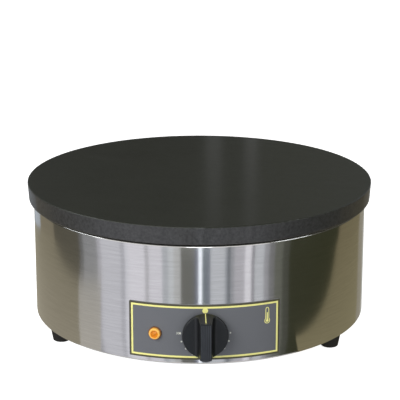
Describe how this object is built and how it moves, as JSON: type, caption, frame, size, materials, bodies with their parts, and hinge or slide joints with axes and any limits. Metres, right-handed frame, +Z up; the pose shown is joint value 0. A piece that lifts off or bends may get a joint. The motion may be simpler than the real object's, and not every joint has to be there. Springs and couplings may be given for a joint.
{
  "type": "electric crepe maker",
  "caption": "Round countertop crepe griddle: cast-iron plate on a brushed stainless drum, with a front thermostat knob, pilot lamp and rubber feet.",
  "frame": {"origin": "on the plate's axis at the level of the feet's undersides", "axes": "+Z up through the cooking surface, -Y towards the control panel, +X to the right seen from the front"},
  "size_m": [0.3998, 0.4409, 0.1722],
  "materials": {
    "cast_iron_plate": "machined and seasoned cast iron, satin",
    "element_sheath": "heat-tinted stainless sheath, satin",
    "ceramic": "unglazed steatite",
    "zinc_steel": "zinc-plated steel",
    "copper_tube": "drawn copper",
    "aluminium_foil": "bright foil",
    "mineral_wool": "mineral wool board",
    "aluminised_steel": "aluminised sheet steel",
    "brushed_stainless": "circumferentially brushed stainless steel",
    "base_steel": "galvanised sheet steel",
    "fascia_print": "satin grey printed sheet",
    "switch_moulding": "moulded thermoset",
    "brass_parts": "plain brass",
    "black_phenolic": "moulded black phenolic, semi-gloss",
    "amber_lens": "moulded amber polycarbonate",
    "lamp_bezel": "moulded amber rim, gloss",
    "wire_brown": "silicone insulation, brown",
    "wire_black": "silicone insulation, black",
    "wire_blue": "silicone insulation, blue",
    "wire_green": "silicone insulation, green and yellow",
    "black_rubber": "moulded black rubber",
    "black_nylon": "moulded black nylon"
  },
  "bodies": {
    "machine": {"griddle_plate": "cast_iron_plate", "heating_element": "element_sheath", "element_ceramics": "ceramic", "element_studs": "zinc_steel", "clamp_spider": "zinc_steel", "spider_stud": "zinc_steel", "spider_nut": "zinc_steel", "sensor_bulb": "copper_tube", "sensor_clip": "zinc_steel", "capillary_tube": "copper_tube", "reflector_sheet": "aluminium_foil", "insulation_disc": "mineral_wool", "heat_shield_pan": "aluminised_steel", "tie_rods": "zinc_steel", "rod_nuts": "zinc_steel", "lower_sleeves": "zinc_steel", "upper_sleeves": "zinc_steel", "drum_shell": "brushed_stainless", "base_plate": "base_steel", "base_screws": "zinc_steel", "control_fascia": "fascia_print", "thermostat_plate": "zinc_steel", "thermostat_body": "switch_moulding", "thermostat_tabs": "brass_parts", "thermostat_screws": "zinc_steel", "pilot_lamp_lens": "amber_lens", "pilot_lamp_bezel": "lamp_bezel", "pilot_lamp_body": "black_phenolic", "pilot_lamp_nut": "zinc_steel", "terminal_block": "ceramic", "terminal_inserts": "brass_parts", "terminal_block_screws": "zinc_steel", "earth_stud": "brass_parts", "wire_live": "wire_brown", "wire_heater": "wire_black", "wire_neutral": "wire_blue", "wire_earth": "wire_green", "wires_lamp": "wire_black", "gland_washer": "black_rubber", "gland_body": "black_nylon", "gland_lock_nut": "black_nylon", "gland_seal": "black_rubber", "gland_cap": "black_nylon", "foot_front_left": "black_rubber", "foot_front_right": "black_rubber", "foot_rear": "black_rubber"},
    "control_knob": {"knob": "black_phenolic", "knob_spring": "zinc_steel", "thermostat_shaft": "zinc_steel"}
  },
  "joints": [
    {"name": "knob_turn", "type": "hinge", "parent": "machine", "child": "control_knob", "pos_m": [0, -0.205, 0.0514], "axis": [0, 1, 0], "range_deg": [0, 270]}
  ]
}
